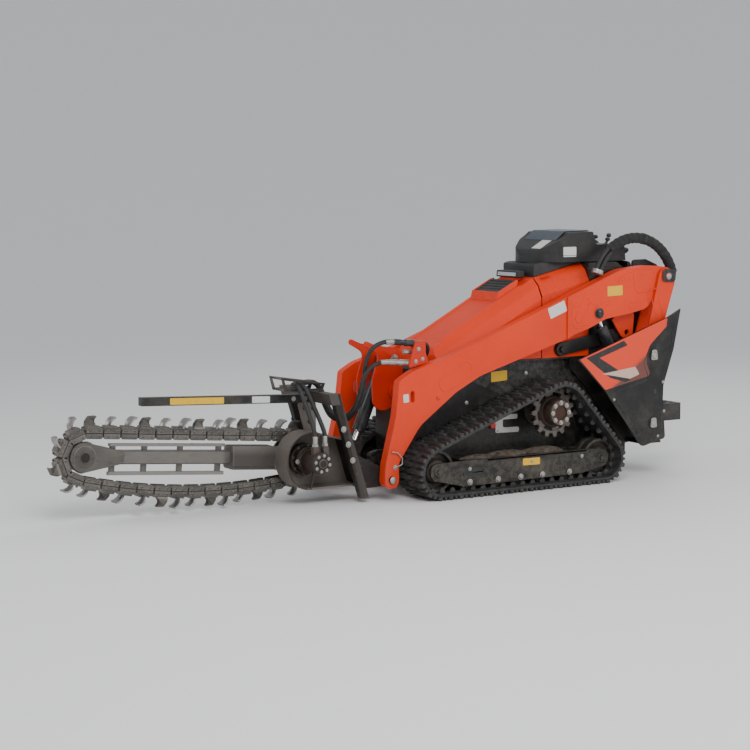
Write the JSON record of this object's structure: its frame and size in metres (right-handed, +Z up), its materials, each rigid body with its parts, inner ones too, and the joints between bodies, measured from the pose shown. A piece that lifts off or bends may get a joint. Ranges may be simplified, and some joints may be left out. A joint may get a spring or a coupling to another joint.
{
  "type": "stand-on skid steer with chain trencher",
  "caption": "Narrow stand-on tracked loader with a lifting arm linkage that carries a tilting chain trencher.",
  "frame": {"origin": "on the ground under the centre of the whole machine's box", "axes": "+X forward towards the trencher's nose, +Y to the operator's left, +Z up"},
  "size_m": [3.8475, 0.914, 1.4018],
  "materials": {
    "black_paint": "satin black powder coat, dusty",
    "track_frame_paint": "black paint under dry mud",
    "orange_paint": "gloss orange-red paint",
    "track_rubber": "worn dusty rubber",
    "engine_casting": "painted casting",
    "black_plastic": "grained plastic",
    "rim_plastic": "grained dark grey plastic",
    "pad_foam": "moulded foam skin",
    "barrel_paint": "gloss black paint",
    "rod_chrome": "ground chrome",
    "hose_sleeve": "woven nylon sleeve over hoses",
    "hose_rubber": "dusty hose rubber",
    "rusty_steel": "rusty, earth-stained steel",
    "boom_steel": "worn, dusty steel",
    "chain_steel": "worn steel with earth in its joints"
  },
  "bodies": {
    "chassis": {"lower_frame": "black_paint", "engine_block": "engine_casting", "left_side_panel": "black_paint", "right_side_panel": "black_paint", "left_track_frame": "track_frame_paint", "right_track_frame": "track_frame_paint", "left_track": "track_rubber", "right_track": "track_rubber", "left_wheels": "track_frame_paint", "right_wheels": "track_frame_paint", "platform": "black_paint", "rear_body": "black_paint", "rear_cowl": "orange_paint", "console_rim": "rim_plastic", "console": "black_plastic", "operator_pad": "pad_foam"},
    "hood": {"hood": "orange_paint", "hood_grille": "black_plastic", "work_lamp": "black_plastic"},
    "rear_links": {"left_rear_link": "orange_paint", "right_rear_link": "orange_paint"},
    "control_links": {"left_control_link": "black_paint", "right_control_link": "black_paint"},
    "lift_barrels": {"left_lift_barrel": "barrel_paint", "right_lift_barrel": "barrel_paint"},
    "lift_rods": {"left_lift_rod": "rod_chrome", "right_lift_rod": "rod_chrome"},
    "loader_arms": {"left_arm": "orange_paint", "right_arm": "orange_paint", "arm_crossmember": "orange_paint", "coupler_block": "orange_paint", "left_hose_loop": "hose_sleeve", "right_hose_loop": "hose_sleeve"},
    "tilt_barrel": {"tilt_barrel": "barrel_paint"},
    "tilt_rod": {"tilt_rod": "rod_chrome"},
    "attachment": {"mount_plate": "rusty_steel", "trencher_head": "rusty_steel", "drive_motor": "rusty_steel", "boom": "boom_steel", "digging_chain": "chain_steel", "safety_bar": "black_paint", "hose_guide": "black_paint", "trencher_hoses": "hose_rubber"}
  },
  "joints": [
    {"name": "hood_open", "type": "hinge", "parent": "chassis", "child": "hood", "pos_m": [-0.243, 0, 0.713], "axis": [0, 1, 0], "range_deg": [0, 60]},
    {"name": "rear_link_swing", "type": "hinge", "parent": "chassis", "child": "rear_links", "pos_m": [-1.603, 0, 0.698], "axis": [0, -1, 0], "range_deg": [-18.27, 0.5]},
    {"name": "arm_lift", "type": "hinge", "parent": "rear_links", "child": "loader_arms", "pos_m": [-1.74, 0, 1.143], "axis": [0, -1, 0], "range_deg": [0, 73.3], "deforming": ["left_hose_loop", "right_hose_loop"]},
    {"name": "control_link_swing", "type": "hinge", "parent": "chassis", "child": "control_links", "pos_m": [-1.06, 0, 0.748], "axis": [0, -1, 0], "range_deg": [-62.06, 0.5]},
    {"name": "lift_cylinder_swing", "type": "hinge", "parent": "chassis", "child": "lift_barrels", "pos_m": [-1.602, 0, 0.309], "axis": [0, -1, 0], "range_deg": [-0.5, 7.93]},
    {"name": "lift_rod_slide", "type": "slide", "parent": "lift_barrels", "child": "lift_rods", "axis": [0.4762, 0, 0.8794], "range_m": [-0.002, 0.49999]},
    {"name": "tilt", "type": "hinge", "parent": "loader_arms", "child": "attachment", "pos_m": [0.111, 0, 0.117], "axis": [0, -1, 0], "range_deg": [-65, 15], "deforming": ["trencher_hoses"]},
    {"name": "tilt_cylinder_swing", "type": "hinge", "parent": "loader_arms", "child": "tilt_barrel", "pos_m": [-0.047, 0, 0.738], "axis": [0, -1, 0], "range_deg": [-2.1, 7.41]},
    {"name": "tilt_rod_slide", "type": "slide", "parent": "tilt_barrel", "child": "tilt_rod", "axis": [0.3949, 0, -0.9187], "range_m": [-0.03956, 0.16477]}
  ],
  "couplings": [
    {"joint": "rear_link_swing", "follows": "arm_lift", "ratio": -0.24239},
    {"joint": "control_link_swing", "follows": "arm_lift", "ratio": -0.83984},
    {"joint": "lift_cylinder_swing", "follows": "arm_lift", "ratio": 0.10133},
    {"joint": "lift_rod_slide", "follows": "arm_lift", "m_per_rad": 0.38926},
    {"joint": "tilt_cylinder_swing", "follows": "tilt", "ratio": -0.10634},
    {"joint": "tilt_rod_slide", "follows": "tilt", "m_per_rad": -0.14348}
  ]
}
